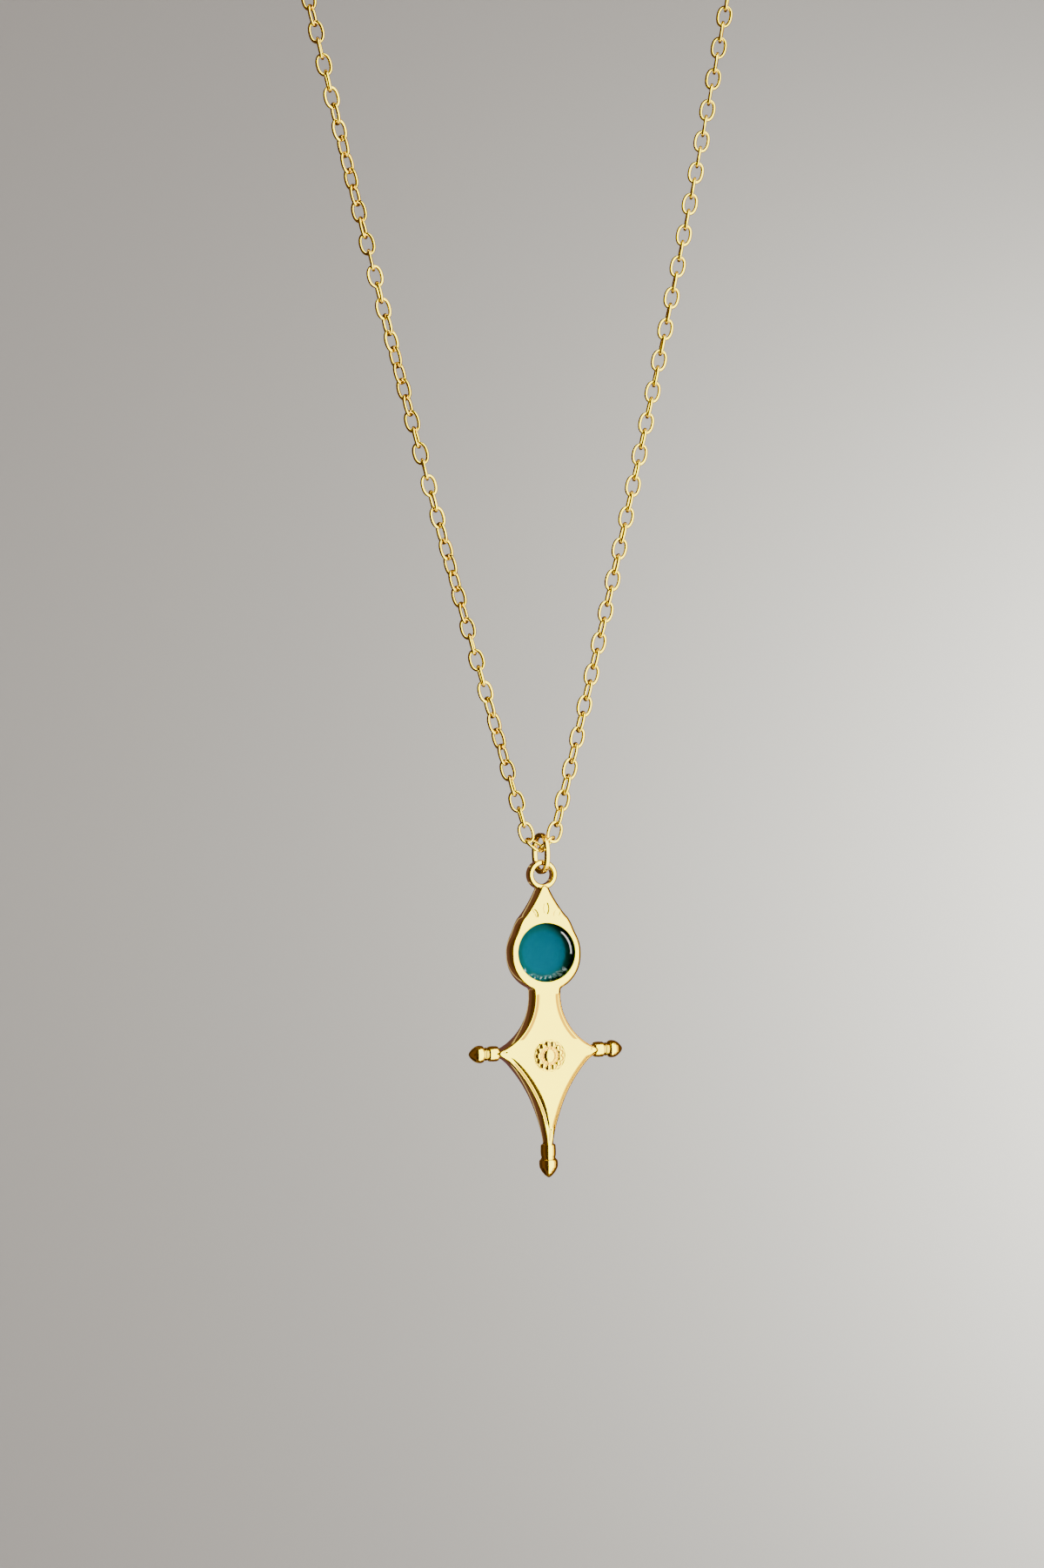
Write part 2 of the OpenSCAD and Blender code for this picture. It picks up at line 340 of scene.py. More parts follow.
def inside(points, loop):
    """Which points lie inside a loop."""
    x, z = points[:, 0], points[:, 1]
    ax, az = loop[:, 0], loop[:, 1]
    bx, bz = np.roll(ax, -1), np.roll(az, -1)
    hit = np.zeros(len(points), bool)
    for k in range(len(loop)):
        if abs(bz[k] - az[k]) < 1e-12:
            continue
        spans = (az[k] > z) != (bz[k] > z)
        hit ^= spans & (x < (bx[k] - ax[k]) * (z - az[k]) / (bz[k] - az[k]) + ax[k])
    return hit


def edge_distance(points):
    """Distance from the outline, a block of points at a time."""
    block = 4000
    side = np.roll(outline, -1, 0) - outline
    size = np.maximum((side ** 2).sum(1), 1e-12)
    out = np.empty(len(points))
    for s in range(0, len(points), block):
        p = points[s:s + block, None, :] - outline[None]
        t = np.clip((p * side[None]).sum(2) / size[None], 0, 1)
        out[s:s + block] = np.sqrt(((p - t[..., None] * side[None]) ** 2).sum(2)).min(1)
    return out


# Edges of the cross

# Each is its width, its depth and how round it is
EDGE_LEFT = (0.2, 0.2, 2.0)
EDGE_RIGHT = (0.3, 0.26, 1.3)
EDGE_BACK = (0.24, 0.24, 2.0)
EDGE_CUP = (0.09, 0.09, 2.0)


def half_thickness(z):
    """The casting is thinner towards the foot."""
    t = np.clip((TAPER_Z - z) / (TAPER_Z - FOOT_Z), 0, None)
    return BODY_T / 2 - t * (BODY_T - FOOT_T) / 2


def edge_size(x):
    """The front edge, which is nearly a flat bevel on the right."""
    t = smooth_step(x, -0.6, 0.6)
    return tuple(a + (b - a) * t for a, b in zip(EDGE_LEFT, EDGE_RIGHT))


def edge_drop(distance, width, depth, power):
    """How far a rounded edge falls below its face."""
    e = np.clip(1 - distance / width, 0, 1)
    return depth * (1 - (1 - e ** power) ** (1 / power))


# Seeds

# Each is x, z, length, width, tilt, and the strength of its left and of its right wall
SEEDS = (
    (0.05, 14.94, 1.3, 0.62, 0.0, 0.8, 1.3),
    (1.2, 14.4, 1.05, 0.66, 28.0, 0.7, 0.5),
    (-1.2, 14.45, 1.05, 0.66, -28.0, 0.0, 1.6),
)
SEED_RISE = 0.035
SEED_DEPTH = 0.08
SEED_RINGS = (0.2, 0.45, 0.6, 0.7, 0.78, 0.86, 0.94, 1.02, 1.1, 1.2)
SEED_SIDES = 56


def seed_frame(x, z, seed):
    """The place across a seed, and the distance from its middle, which is 1 at its outline."""
    seed_x, seed_z, length, width, tilt = seed[:5]
    c, s = math.cos(rad(tilt)), math.sin(rad(tilt))
    u = (x - seed_x) * c - (z - seed_z) * s
    v = (x - seed_x) * s + (z - seed_z) * c
    return u, np.hypot(2 * u / width, 2 * v / length)


def seed_height(x, z):
    """Three pressed ovals with a low dome in each."""
    height = np.zeros_like(x)
    for seed in SEEDS:
        u, r = seed_frame(x, z, seed)
        left, right = seed[5:]
        strength = left + (right - left) * smooth_step(u, -0.1, 0.1)
        pressed = SEED_DEPTH * (1 - smooth_step(r, 0.7, 1.1))
        height = height + strength * (SEED_RISE * bump(r, 1.0) ** 2 - pressed)
    return height


def seed_points():
    """Rings of points round each seed."""
    a = full_turn(SEED_SIDES)
    sets = []
    for seed_x, seed_z, length, width, tilt, _, _ in SEEDS:
        c, s = math.cos(rad(tilt)), math.sin(rad(tilt))
        for r in SEED_RINGS:
            u = r * width / 2 * np.cos(a + r)
            v = r * length / 2 * np.sin(a + r)
            sets.append(np.stack([seed_x + u * c + v * s, seed_z - u * s + v * c], 1))
    return np.concatenate(sets)


def off_seeds(points, margin):
    """The points that lie clear of every seed's rings."""
    for seed in SEEDS:
        r = seed_frame(points[:, 0], points[:, 1], seed)[1]
        points = points[r > SEED_RINGS[-1] + margin]
    return points


# Rosette

ROSETTE_Z = -0.37
ROSETTE_R = 1.75
PETALS = 13
PETAL_TOP_R = 1.15
PETAL_OUT = 0.43
PETAL_IN = 0.3
PETAL_W = 0.34
PETAL_H = 0.34
DOME_W = 0.74
DOME_L = 0.82
DOME_H = 0.4
DOME_POWER = 2.5
# A groove is its radius, depth and width
ROSETTE_GROOVES = ((0.8, 0.14, 0.07), (1.62, 0.06, 0.06))


def rosette_height(x, z):
    """A domed middle in a ring of petals, which are steepest at their outer ends."""
    dz = z - ROSETTE_Z
    height = np.zeros_like(x)
    for k in range(PETALS):
        b = 2 * math.pi * (k + 0.5) / PETALS
        u = x * math.cos(b) + dz * math.sin(b) - PETAL_TOP_R
        v = dz * math.cos(b) - x * math.sin(b)
        t = np.hypot(u / np.where(u > 0, PETAL_OUT, PETAL_IN), v / PETAL_W)
        height = np.maximum(height, PETAL_H * bump(t, 1.0))
    dome = np.hypot(x / DOME_W, dz / DOME_L)
    height = np.maximum(height, DOME_H * np.sqrt(np.clip(1 - dome ** DOME_POWER, 0, 1)))
    for radius, depth, width in ROSETTE_GROOVES:
        height = height - depth * peak(np.hypot(x, dz) - radius, width)
    return height


# Borders

# A profile is depths at distances from the outline: a hollow with a wide wall and a narrow one
UPPER_LEFT = ((0.21, 0), (0.56, 0.16), (0.59, 0.13), (1.35, 0))
# On the right the rim stands a little below the inner face
UPPER_RIGHT = ((0.1, 0.12), (0.28, 0.16), (0.62, 0))
LOWER_RIGHT = ((0.1, 0.14), (0.2, 0.16), (0.55, -0.03), (0.65, 0))
LOWER_LEFT_START = 0.15
LOWER_LEFT_AT = 0.43
LINE_TOP = 5.85
LINE_END = 0.26
LINES_X = 5.6
LINES_Z = 6.6
NOTCH = (4.75, 0.15)
NOTCH_SIZE = (0.22, 0.11)
NOTCH_DEPTH = 0.12
TAIL = ((-0.14, 0), (0.02, 0.07), (0.3, 0))
MEET_Z = -8.1
MEET_R = 0.13
MEET_DEPTH = 0.1


def from_profile(distance, profile):
    """Depth at a distance, on straight lines between the profile's points."""
    at, depth = zip(*profile)
    return np.interp(distance, at, depth)


def upper_border(x, z):
    """Lines along the waist. They end below the head and are half as deep beside the arms."""
    d = np.hypot(np.abs(x) - WAIST[0], z - WAIST[1]) - WAIST[2]
    depth = np.where(x < 0, from_profile(d, UPPER_LEFT), from_profile(d, UPPER_RIGHT))
    end = np.clip((z - LINE_TOP) / LINE_END, 0, 1)
    near_arm = 0.5 + 0.5 * smooth_step(z, 0.5, 1.6)
    return depth * np.sqrt(1 - end ** 2) * near_arm


def lower_border(x, z):
    """Lines along the flanks. The left one is widest in the middle, and both fade at their ends."""
    d = np.hypot(np.abs(x) - FLANK[0], z - FLANK[1]) - FLANK[2]
    wide = smooth_step(-z, 0.3, 2.2) * (1 - smooth_step(-z, 4.0, 7.6))
    width = 0.18 + 0.38 * wide
    deepest = 0.1 + 0.07 * wide
    outer = deepest * np.clip((d - LOWER_LEFT_START) / (LOWER_LEFT_AT - LOWER_LEFT_START), 0, 1)
    inner = deepest * np.clip(1 - (d - LOWER_LEFT_AT) / width, 0, 1) ** 1.3
    left = np.where(d < LOWER_LEFT_AT, outer, inner)
    fade = smooth_step(-z, 0.0, 0.8) * (1 - smooth_step(-z, 7.4, 8.6))
    return np.where(x < 0, left, from_profile(d, LOWER_RIGHT)) * fade


def groove_depth(x, z):
    """The borders, a notch beside each arm, and the tail where the lower lines meet."""
    depth = np.where(z > 0.3, upper_border(x, z), lower_border(x, z))
    notch = np.hypot((np.abs(x) - NOTCH[0]) / NOTCH_SIZE[0], (z - NOTCH[1]) / NOTCH_SIZE[1])
    depth = np.maximum(depth, NOTCH_DEPTH * peak(notch, 1))
    tail = from_profile(x, TAIL) * smooth_step(-z, 7.4, 8.2) * (1 - smooth_step(-z, 9.0, 9.8))
    depth = np.maximum(depth, tail)
    meet = np.hypot(x / MEET_R, (z - MEET_Z) / MEET_R)
    depth = np.maximum(depth, MEET_DEPTH * peak(meet, 1))
    return np.where((np.abs(x) < LINES_X) & (z < LINES_Z), depth, 0)


def front_height(p):
    """How far the front face stands from the middle plane."""
    x, z = p[:, 0], p[:, 1]
    height = half_thickness(z) - edge_drop(edge_distance(p), *edge_size(x))
    height = height - groove_depth(x, z) + seed_height(x, z) + rosette_height(x, z)
    return height - edge_drop(np.hypot(x, z - HEAD_Z) - CUP_R, *EDGE_CUP)


def back_height(p):
    return half_thickness(p[:, 1]) - edge_drop(edge_distance(p), *EDGE_BACK)


def face_normals(height, p, side):
    """Normals of a face from the slope of its height. The side is -1 in front and 1 behind."""
    step = 0.012
    dx = (height(p + [step, 0]) - height(p - [step, 0])) / (2 * step)
    dz = (height(p + [0, step]) - height(p - [0, step])) / (2 * step)
    n = np.stack([-dx, np.full(len(p), float(side)), -dz], 1)
    return n / np.linalg.norm(n, axis=1)[:, None]


# Points of the faces

# Lines of points follow the outline and the cup's lip at these distances
EDGE_RINGS = [0.01, 0.035, 0.075, 0.12, 0.17, 0.22]
LINE_RINGS = [0.26, 0.31, 0.36, 0.4, 0.43, 0.47, 0.5, 0.54, 0.6, 0.67, 0.74, 0.82, 0.9, 0.99, 1.08]
LIP_RINGS = [0.015, 0.05, 0.095]
LIP_CLEAR = 0.13
RING_SHARE = 0.93
GRID_CLEAR = 0.6
# Spacing of the even grid, and of the finer one under the rosette
FULL_SPACING = (0.1, 0.045)
PLATE_BOX = (-5.6, 5.6, -10.8, 17.5)
ROSETTE_BOX = (-ROSETTE_R, ROSETTE_R, ROSETTE_Z - ROSETTE_R, ROSETTE_Z + ROSETTE_R)
BACK_SPACING = 0.3
WALL_ROWS = 9
WALL_SWELL = 0.05


def even_grid(box, spacing):
    """Points in rows, with every other row moved along by half a step."""
    x0, x1, z0, z1 = box
    x, z = np.meshgrid(np.arange(x0, x1, spacing), np.arange(z0, z1, spacing))
    x[1::2] += spacing / 2
    return np.stack([x.ravel(), z.ravel()], 1)


def on_rosette(p):
    return np.hypot(p[:, 0], p[:, 1] - ROSETTE_Z) < ROSETTE_R


def ring_points(rings):
    """Lines of points along the outline, left out where two lines would run together."""
    out = outward_of(outline)
    sets = []
    for d in rings:
        ring = outline - out * d
        sets.append(ring[edge_distance(ring) > d * RING_SHARE])
    return sets


def filling(grid, rings, spacing):
    """The points of a grid that lie inside the outline and clear of the lines along it."""
    grid = grid[inside(grid, outline)]
    clear = edge_distance(grid) - rings[-1]
    return grid[clear > GRID_CLEAR * spacing]


def front_points(spacing, fine):
    """Lines along the outline, an even grid, a finer one under the rosette, and rings round the seeds."""
    rings = EDGE_RINGS + LINE_RINGS
    grid = even_grid(PLATE_BOX, spacing)
    close = even_grid(ROSETTE_BOX, fine)
    grid = np.concatenate([grid[~on_rosette(grid)], close[on_rosette(close)]])
    points = np.concatenate(ring_points(rings) + [filling(off_seeds(grid, 0.1), rings, spacing)])
    points = np.concatenate([off_seeds(points, 0.05), seed_points()])
    off_lip = np.hypot(points[:, 0], points[:, 1] - HEAD_Z) > CUP_R + LIP_CLEAR
    return points[inside(points, outline) & off_lip]


def triangulate(loose, hole=None):
    """Triangles between the outline, the edge of a hole and loose points."""
    loops = [outline] if hole is None else [outline, hole]
    edges = []
    start = 0
    for loop in loops:
        edges += [(start + i, start + (i + 1) % len(loop)) for i in range(len(loop))]
        start += len(loop)
    corners = [Vector(v) for v in np.concatenate(loops + [loose]).tolist()]
    output_kind = 1 if hole is None else 2
    points, _, faces, _, _, _ = delaunay_2d_cdt(corners, edges, [], output_kind, 1e-7)
    points = np.array([(v.x, v.y) for v in points])
    faces = np.array([f for f in faces if len(f) == 3])
    middle = points[faces].mean(1)
    keep = inside(middle, outline)
    if hole is not None:
        keep &= ~inside(middle, hole)
    return points, faces[keep]


def follow_wall(p, normals):
    """Gives the points on the outline the wall's directions, so that the edge stays crisp."""
    out = outward_of(outline)
    for i in np.nonzero(edge_distance(p) < ON_LINE)[0]:
        k = np.argmin(((outline - p[i]) ** 2).sum(1))
        normals[i] = (out[k, 0], 0, out[k, 1])


def follow_cup(p, normals):
    """Gives the points on the cup's edge the directions of the cup's wall."""
    spoke = p - [0, HEAD_Z]
    size = np.hypot(spoke[:, 0], spoke[:, 1])
    on_cup = np.abs(size - CUP_R) < ON_LINE
    spoke = spoke[on_cup] / size[on_cup, None]
    normals[on_cup] = np.stack([-spoke[:, 0], np.zeros(len(spoke)), -spoke[:, 1]], 1)


def add_front(surface, cup_edge):
    points = front_points(*FULL_SPACING)
    a = full_turn(CUP_SIDES)
    lip = [circle_points(CUP_R + d, a + d, HEAD_Z) for d in LIP_RINGS]
    p, faces = triangulate(np.concatenate([points] + lip), cup_edge)
    normals = face_normals(front_height, p, -1)
    follow_wall(p, normals)
    follow_cup(p, normals)
    surface.add(np.stack([p[:, 0], -front_height(p), p[:, 1]], 1), faces, normals)


def add_back(surface):
    grid = filling(even_grid(PLATE_BOX, BACK_SPACING), EDGE_RINGS, BACK_SPACING)
    p, faces = triangulate(np.concatenate(ring_points(EDGE_RINGS) + [grid]))
    normals = face_normals(back_height, p, 1)
    follow_wall(p, normals)
    surface.add(np.stack([p[:, 0], back_height(p), p[:, 1]], 1), faces, normals)


def add_wall(surface):
    """The side wall, which swells a little between the two faces."""
    out = outward_of(outline)
    rows = np.linspace(-1, 1, WALL_ROWS)
    swell = WALL_SWELL * (1 - rows ** 2)
    slope = np.gradient(swell, rows)
    front = -half_thickness(outline[:, 1]) + edge_size(outline[:, 0])[1]
    back = half_thickness(outline[:, 1]) - EDGE_BACK[1]
    points = np.zeros((WALL_ROWS, len(outline), 3))
    normals = np.zeros_like(points)
    for k in range(WALL_ROWS):
        size = math.hypot(1, slope[k])
        points[k, :, ::2] = outline + out * swell[k]
        points[k, :, 1] = front + (back - front) * (rows[k] + 1) / 2
        normals[k, :, ::2] = out / size
        normals[k, :, 1] = -slope[k] / size
    faces = grid_faces(WALL_ROWS, len(outline), False, True)
    surface.add(points.reshape(-1, 3), faces, normals.reshape(-1, 3))


def facing_front(profile, normals):
    """Turns a profile of radius and depth about the head's axis, which runs from front to back."""
    points, faces, normals = revolve(profile, normals, CUP_SIDES)
    return points[:, [0, 2, 1]] + [0, 0, HEAD_Z], faces, normals[:, [0, 2, 1]]


def add_cup(surface, edge_y):
    """The cup's wall and floor, with a rounded corner between them."""
    floor_y = -BODY_T / 2 + CUP_D
    profile = [(CUP_R, edge_y), (CUP_R, (edge_y + floor_y) / 2), (CUP_R, floor_y - CUP_CORNER)]
    normals = [(-1, 0)] * 3
    steps = 4
    for k in range(1, steps + 1):
        b = rad(90 * k / steps)
        c, s = math.cos(b), math.sin(b)
        profile.append((CUP_R - CUP_CORNER + CUP_CORNER * c, floor_y - CUP_CORNER + CUP_CORNER * s))
        normals.append((-c, -s))
    profile += [(1.5, floor_y), (0.001, floor_y)]
    normals += [(0, -1)] * 2
    surface.add(*facing_front(profile, normals))


def add_body(surface):
    cup_edge = circle_points(CUP_R, full_turn(CUP_SIDES), HEAD_Z)
    add_front(surface, cup_edge)
    add_back(surface)
    add_wall(surface)
    add_cup(surface, -float(front_height(cup_edge[:1])[0]))


# Finials

# An acorn's shape is distances along it and radii, both as shares of its size
ARM_TIP_X = 8.35
FOOT_TIP_Z = -13.15
FINIAL_SIDES = 64
SIDE_FINIAL = {
    "collar": 1.17,
    "neck": 0.38,
    "acorn": 1.65,
    "acorn_r": 0.92,
    "groove_r": 0.6,
    "bead": True,
    "shape": ((0.3, 1.0), (0.46, 0.95), (0.6, 0.84), (0.75, 0.64), (0.88, 0.4), (0.96, 0.19), (1, 0)),
}
FOOT_FINIAL = {
    "collar": 1.4,
    "neck": 0.12,
    "acorn": 2.0,
    "acorn_r": 0.99,
    "groove_r": 0.74,
    "bead": False,
    "shape": ((0.28, 1.0), (0.46, 0.96), (0.61, 0.81), (0.76, 0.6), (0.88, 0.38), (0.96, 0.17), (1, 0)),
}


def smooth_profile(points, corner, step):
    """Fills a profile with points and rounds its corners by a short running mean."""
    dense = even_points(points, step)
    width = max(1, int(corner / step))
    kernel = np.ones(2 * width + 1) / (2 * width + 1)
    padded = np.concatenate([np.repeat(dense[:1], width, 0), dense, np.repeat(dense[-1:], width, 0)])
    return np.stack([np.convolve(padded[:, k], kernel, "valid") for k in (0, 1)], 1)


def finial_profile(collar, neck, acorn, acorn_r, groove_r, bead, shape):
    """Radius and length along the arm, from inside the casting to the tip. The grooves are sharp."""
    raw = [(0.4, -0.4), (0.6, 0.0), (0.74, 0.06), (0.79, 0.2), (0.81, collar / 2), (0.79, collar - 0.2)]
    raw += [(0.73, collar - 0.06), (groove_r, collar + 0.03)]
    start = collar + neck
    if bead:
        middle = collar + neck / 2
        raw += [(0.67, middle - 0.09), (0.71, middle), (0.67, middle + 0.09), (groove_r, start - 0.03)]
    raw += [(0.82 * acorn_r, start + 0.05), (0.94 * acorn_r, start + 0.16), (0.985 * acorn_r, start + 0.3)]
    raw += [(max(r * acorn_r, 0.001), start + t * acorn) for t, r in shape]
    return smooth_profile(raw, 0.03, 0.015)


def finial(size):
    """A finial along Z, and its length."""
    profile = finial_profile(**size)
    normals = across(np.gradient(profile, axis=0))
    return revolve(profile, normals, FINIAL_SIDES), size["collar"] + size["neck"] + size["acorn"]


def add_finials(surface):
    (points, faces, normals), length = finial(SIDE_FINIAL)
    for side in (1, -1):
        arm = (points[:, [2, 0, 1]] + [ARM_TIP_X - length, 0, 0]) * [side, 1, 1]
        surface.add(arm, faces, normals[:, [2, 0, 1]] * [side, 1, 1])
    (points, faces, normals), length = finial(FOOT_FINIAL)
    surface.add(points * [1, 1, -1] + [0, 0, FOOT_TIP_Z + length], faces, normals * [1, 1, -1])


# Hanging ring

RING_R = 1.55
RING_HOLE_R = 0.98
RING_Z = 18.44
RING_DEPTH = 1.4
RING_CORNER = 0.2
RING_STRETCH = 1.4
RING_SIDES = 96


def add_ring(surface):
    """The section is a round-edged bar, stretched from front to back."""
    section, normals = rounded_section(RING_R - RING_HOLE_R, RING_DEPTH / RING_STRETCH, RING_CORNER, 8)
    section = section * [1, RING_STRETCH]
    normals = normals / [1, RING_STRETCH]
    normals /= np.hypot(normals[:, 0], normals[:, 1])[:, None]
    out = circle_points(1, full_turn(RING_SIDES), 0)
    path = out * (RING_R + RING_HOLE_R) / 2 + [0, RING_Z]
    surface.add(*sweep(path, section, normals, out))


# Material helpers

def new_material(name):
    material = bpy.data.materials.new(name)
    material.use_nodes = True
    tree = material.node_tree
    return material, tree, tree.nodes["Principled BSDF"]


def fill(tree, target, inputs):
    """Sets a node's inputs, each to a value or to another node's output."""
    for key, value in inputs.items():
        if isinstance(value, bpy.types.NodeSocket):
            tree.links.new(value, target.inputs[key])
        else:
            target.inputs[key].default_value = value


def node(tree, kind, inputs, **settings):
    made = tree.nodes.new(kind)
    for key, value in settings.items():
        setattr(made, key, value)
    fill(tree, made, inputs)
    return made


def maths(tree, operation, *inputs):
    return node(tree, "ShaderNodeMath", dict(enumerate(inputs)), operation=operation).outputs[0]


def vector_maths(tree, operation, *inputs):
    made = node(tree, "ShaderNodeVectorMath", dict(enumerate(inputs)), operation=operation)
    return made.outputs["Value" if operation == "LENGTH" else "Vector"]


def object_place(tree):
    return node(tree, "ShaderNodeTexCoord", {}).outputs["Object"]


def noise(tree, place, scale, detail, roughness=0.5):
    inputs = {"Vector": place, "Scale": scale, "Detail": detail, "Roughness": roughness}
    return node(tree, "ShaderNodeTexNoise", inputs).outputs["Fac"]


def ramp(tree, value, stops):
    """Colours at values, blended between."""
    made = node(tree, "ShaderNodeValToRGB", {"Fac": value})
    elements = made.color_ramp.elements
    while len(elements) < len(stops):
        elements.new(0.5)
    for element, (position, colour) in zip(elements, stops):
        element.position = position
        element.color = (*colour, 1)
    return made.outputs["Color"]


# Gold

def gold(name, bright, dull, roughness, colour_scale, gloss_scale):
    """Polished plating: slight changes of colour and gloss, and the faint waviness of the surface."""
    material, tree, shader = new_material(name)
    place = object_place(tree)
    colour = ramp(tree, noise(tree, place, colour_scale, 4.0, 0.6), [(0.3, dull), (0.62, bright)])
    fine = noise(tree, place, gloss_scale, 3.0, 0.55)
    limits = {"To Min": roughness * 0.8, "To Max": roughness * 1.25}
    gloss = node(tree, "ShaderNodeMapRange", {"Value": fine, **limits})
    relief = node(tree, "ShaderNodeBump", {"Height": fine, "Strength": 0.2, "Distance": 0.00002})
    fill(tree, shader, {"Base Color": colour, "Roughness": gloss.outputs["Result"], "Metallic": 1.0})
    fill(tree, shader, {"Normal": relief.outputs["Normal"]})
    return material


CAST_BRIGHT = (0.97, 0.8, 0.005)
CAST_DULL = (0.96, 0.77, 0.004)
WIRE_BRIGHT = (0.97, 0.77, 0.01)
WIRE_DULL = (0.94, 0.71, 0.008)
cast_gold = gold("cast_gold", CAST_BRIGHT, CAST_DULL, roughness=0.08, colour_scale=500.0, gloss_scale=700.0)
wire_gold = gold("wire_gold", WIRE_BRIGHT, WIRE_DULL, roughness=0.1, colour_scale=900.0, gloss_scale=1500.0)

# Stone

# Its glass has a low index of refraction, except on a polished facet, which runs between two angles
STONE_R = 2.98
TABLE_R = 2.74
FACET_R = 2.56
FACET_TILT = 15.0
POLISHED = (-5, 52)
GLASS_INDEX = 1.06
FACET_INDEX = 2.2
STONE_GAP = 0.05
STONE_BLUE = (0.0, 0.066, 0.098)
STONE_GREEN = (0.0, 0.054, 0.056)
# Colour of the painted shade at the backing's right edge
STONE_PAINTED_SHADE = (0.0, 0.012, 0.006)
# Pale flakes along the stone's lower edge, with their glints painted in as pale colour
FLAKE_GLINT = (0.8, 0.9, 0.85)
FLAKE_GLINT_SCALE = 7.0
FLAKE_GLINT_R = 0.27
FLAKE_GLINT_TOP = -1.55
FLAKE_GLINT_RIM = 2.45
RIM_WOBBLE = 0.16
# The painted shade's shift from the middle and the radii over which it darkens
PAINTED_SHADE_SHIFT = 0.55
PAINTED_SHADE_EDGE = (2.86, 3.04)
GLASS_SLOT = 0
FACET_SLOT = 1
BACKING_SLOT = 2


def glass(name, index):
    """Clear blue-green glass."""
    material, tree, shader = new_material(name)
    stops = [(0.35, (0.8, 0.97, 0.96)), (0.65, (0.84, 1.0, 1.0))]
    colour = ramp(tree, noise(tree, object_place(tree), 900.0, 3.0), stops)
    fill(tree, shader, {"Base Color": colour, "Roughness": 0.02, "IOR": index, "Transmission Weight": 1.0})
    return material


def flake_glint_mask(tree, place, radius):
    """Small pale flakes along the lower edge, whose sparkle is painted in as pale colour."""
    cells = node(tree, "ShaderNodeTexVoronoi", {"Vector": place, "Scale": FLAKE_GLINT_SCALE})
    height = node(tree, "ShaderNodeSeparateXYZ", {0: place}).outputs["Z"]
    dots = maths(tree, "LESS_THAN", cells.outputs["Distance"], FLAKE_GLINT_R)
    low = maths(tree, "LESS_THAN", height, FLAKE_GLINT_TOP)
    rim = maths(tree, "GREATER_THAN", radius, FLAKE_GLINT_RIM)
    return maths(tree, "MULTIPLY", maths(tree, "MULTIPLY", low, rim), dots)


def backing():
    """Painted backing under the glass: blue in the middle, greener at the rim, and a painted shade at the
    right edge that stands in for the dark cup wall seen through the glass.
    """
    material, tree, shader = new_material("stone_backing")
    from_middle = vector_maths(tree, "SUBTRACT", object_place(tree), (0, 0, (HEAD_Z + DROP) * MM))
    place = vector_maths(tree, "MULTIPLY", from_middle, (1 / MM, 0, 1 / MM))
    radius = vector_maths(tree, "LENGTH", place)
    uneven = maths(tree, "MULTIPLY_ADD", noise(tree, place, 1.6, 3.0), RIM_WOBBLE, radius)
    share = maths(tree, "DIVIDE", uneven, STONE_R + 0.1)
    stops = [(0.0, STONE_BLUE), (0.76, STONE_BLUE), (0.79, STONE_GREEN), (1.0, STONE_GREEN)]
    zones = ramp(tree, share, stops)
    # Painted shade: a dark ring about a point left of the middle, so darkest at the right edge, for the cup
    # wall seen through the glass
    shade_distance = vector_maths(tree, "LENGTH", vector_maths(tree, "ADD", place, (PAINTED_SHADE_SHIFT, 0, 0)))
    limits = {"From Min": PAINTED_SHADE_EDGE[0], "From Max": PAINTED_SHADE_EDGE[1]}
    shade = node(tree, "ShaderNodeMapRange", {"Value": shade_distance, **limits})
    inputs = {"Factor": shade.outputs["Result"], "A": zones, "B": (*STONE_PAINTED_SHADE, 1)}
    base = node(tree, "ShaderNodeMix", inputs, data_type="RGBA")
    # Painted glints: pale flakes whose sparkle is painted into the backing's colour
    inputs = {"Factor": flake_glint_mask(tree, place, radius), "A": base.outputs["Result"], "B": (*FLAKE_GLINT, 1)}
    colour = node(tree, "ShaderNodeMix", inputs, data_type="RGBA")
    fill(tree, shader, {"Base Color": colour.outputs["Result"], "Roughness": 0.8, "Specular IOR Level": 0.0})
    return material


def add_glass(surface, base_y, top_y, shoulder_y):
    """The glass: its underside, its rounded shoulder and its flat table."""
    radius = STONE_R - TABLE_R
    fall = 0.3
    profile = [(0.001, base_y), (1.5, base_y), (STONE_R - 0.06, base_y)]
    profile += [(STONE_R - 0.02, base_y - 0.02), (STONE_R, base_y - 0.06)]
    normals = [(0, 1), (0, 1), (0, 1), (0.7, 0.7), (1, 0)]
    steps = 16
    for k in range(steps + 1):
        b = rad(90 * k / steps)
        c, s = math.cos(b), math.sin(b)
        size = math.hypot(fall * c, radius * s)
        profile.append((TABLE_R + radius * c, shoulder_y + fall - fall * s))
        normals.append((fall * c / size, -radius * s / size))
    surface.add(*facing_front(profile, normals), GLASS_SLOT)
    table = [(FACET_R, top_y), (1.2, top_y), (0.001, top_y)]
    surface.add(*facing_front(table, [(0, -1)] * 3), GLASS_SLOT)


def add_facet(surface, top_y, shoulder_y):
    """The narrow facet round the table, with its upper right part polished."""
    slope = (shoulder_y - top_y) / (TABLE_R - FACET_R)
    normal = (slope / math.hypot(slope, 1), -1 / math.hypot(slope, 1))
    profile = [(TABLE_R, shoulder_y), (FACET_R, top_y)]
    points, faces, normals = facing_front(profile, [normal] * 2)
    middle = points[faces].mean(1)
    angle = np.degrees(np.arctan2(middle[:, 2] - HEAD_Z, middle[:, 0]))
    bright = (angle > POLISHED[0]) & (angle < POLISHED[1])
    surface.add(points, faces[~bright], normals, GLASS_SLOT)
    surface.add(points, faces[bright], normals, FACET_SLOT)


